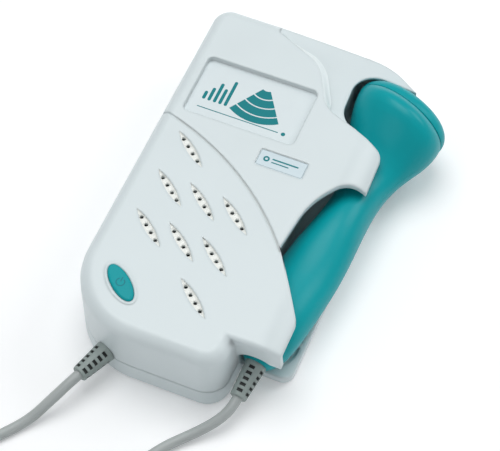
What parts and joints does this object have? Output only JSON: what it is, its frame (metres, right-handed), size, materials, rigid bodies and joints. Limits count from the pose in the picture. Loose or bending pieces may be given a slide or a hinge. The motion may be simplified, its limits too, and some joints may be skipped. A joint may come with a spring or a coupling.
{
  "type": "fetal doppler monitor",
  "caption": "Pocket fetal heart doppler with a display plate, loudspeaker and volume wheel, and a corded ultrasound probe that clips into a holder down its side.",
  "frame": {"origin": "middle of the main body's flat back: on the back face, midway between the ends, 46 mm in from the left wall", "axes": "+Z out of the front face, +Y along the unit to the top end with the display, +X to the side that holds the probe"},
  "size_m": [0.1153, 0.2508, 0.0334],
  "materials": {
    "cover_white": "satin moulded ABS",
    "window_print": "clear plate printed on its back",
    "badge_print": "pale plate with teal print",
    "button_teal": "satin moulded ABS",
    "circuit_board": "solder mask",
    "screw_steel": "zinc plated",
    "black_plastic": "moulded",
    "shield_tin": "tinned sheet",
    "capacitor_aluminium": "satin",
    "speaker_cloth": "woven dust cloth",
    "speaker_steel": "pressed steel, black",
    "speaker_paper": "pressed paper",
    "magnet_iron": "ferrite",
    "wheel_plastic": "moulded, ribbed rim",
    "cell_wrap": "plain printed wrap",
    "contact_steel": "nickel plated",
    "probe_teal": "gloss moulded ABS",
    "face_teal": "smooth cast resin",
    "seal_rubber": "moulded seal",
    "crystal_ceramic": "silvered ceramic",
    "backing_rubber": "cast",
    "boot_rubber": "moulded soft plastic",
    "cord_rubber": "satin jacket",
    "connector_plastic": "moulded nylon",
    "tie_plastic": "coated wire strap"
  },
  "bodies": {
    "monitor": {"front_cover": "cover_white", "rear_cover": "cover_white", "window_plate": "window_print", "badge_plate": "badge_print", "main_board": "circuit_board", "board_screws": "screw_steel", "cover_screws": "screw_steel", "power_switch": "black_plastic", "shield_can": "shield_tin", "board_chips": "black_plastic", "board_capacitors": "capacitor_aluminium", "speaker_cloth": "speaker_cloth", "speaker_frame": "speaker_steel", "speaker_cone": "speaker_paper", "speaker_magnet": "magnet_iron", "volume_potentiometer": "black_plastic", "headphone_jack": "black_plastic", "battery_cell_left": "cell_wrap", "battery_cell_right": "cell_wrap", "battery_plates": "contact_steel", "battery_springs": "contact_steel", "unit_boot": "boot_rubber", "inner_lead": "cord_rubber", "lead_plug": "connector_plastic", "lead_socket": "connector_plastic", "lead_unit_run": "cord_rubber", "lead_coil": "cord_rubber", "coil_tie": "tie_plastic"},
    "probe": {"probe_lower_shell": "probe_teal", "probe_upper_shell": "probe_teal", "face_seal": "seal_rubber", "probe_face": "face_teal", "crystal_discs": "crystal_ceramic", "crystal_backing": "backing_rubber", "probe_board": "circuit_board", "probe_boot": "boot_rubber", "lead_probe_run": "cord_rubber"},
    "button": {"power_button": "button_teal"},
    "wheel": {"volume_wheel": "wheel_plastic"},
    "door": {"battery_door": "cover_white"}
  },
  "joints": [
    {"name": "probe_slide", "type": "slide", "parent": "monitor", "child": "probe", "axis": [0.9903, -0.1392, 0], "range_m": [0, 0.052]},
    {"name": "button_press", "type": "slide", "parent": "monitor", "child": "button", "axis": [0, 0, -1], "range_m": [0, 0.0008], "stiffness_N_per_m": 300, "springref_m": -0.001},
    {"name": "volume_turn", "type": "hinge", "parent": "monitor", "child": "wheel", "pos_m": [-0.027, 0.0606, 0.0156], "axis": [0, 0, 1], "range_deg": [0, 270]},
    {"name": "door_hinge", "type": "hinge", "parent": "monitor", "child": "door", "pos_m": [-0.0185, 0.0093, 0.0011], "axis": [1, 0, 0], "range_deg": [0, 80]}
  ]
}
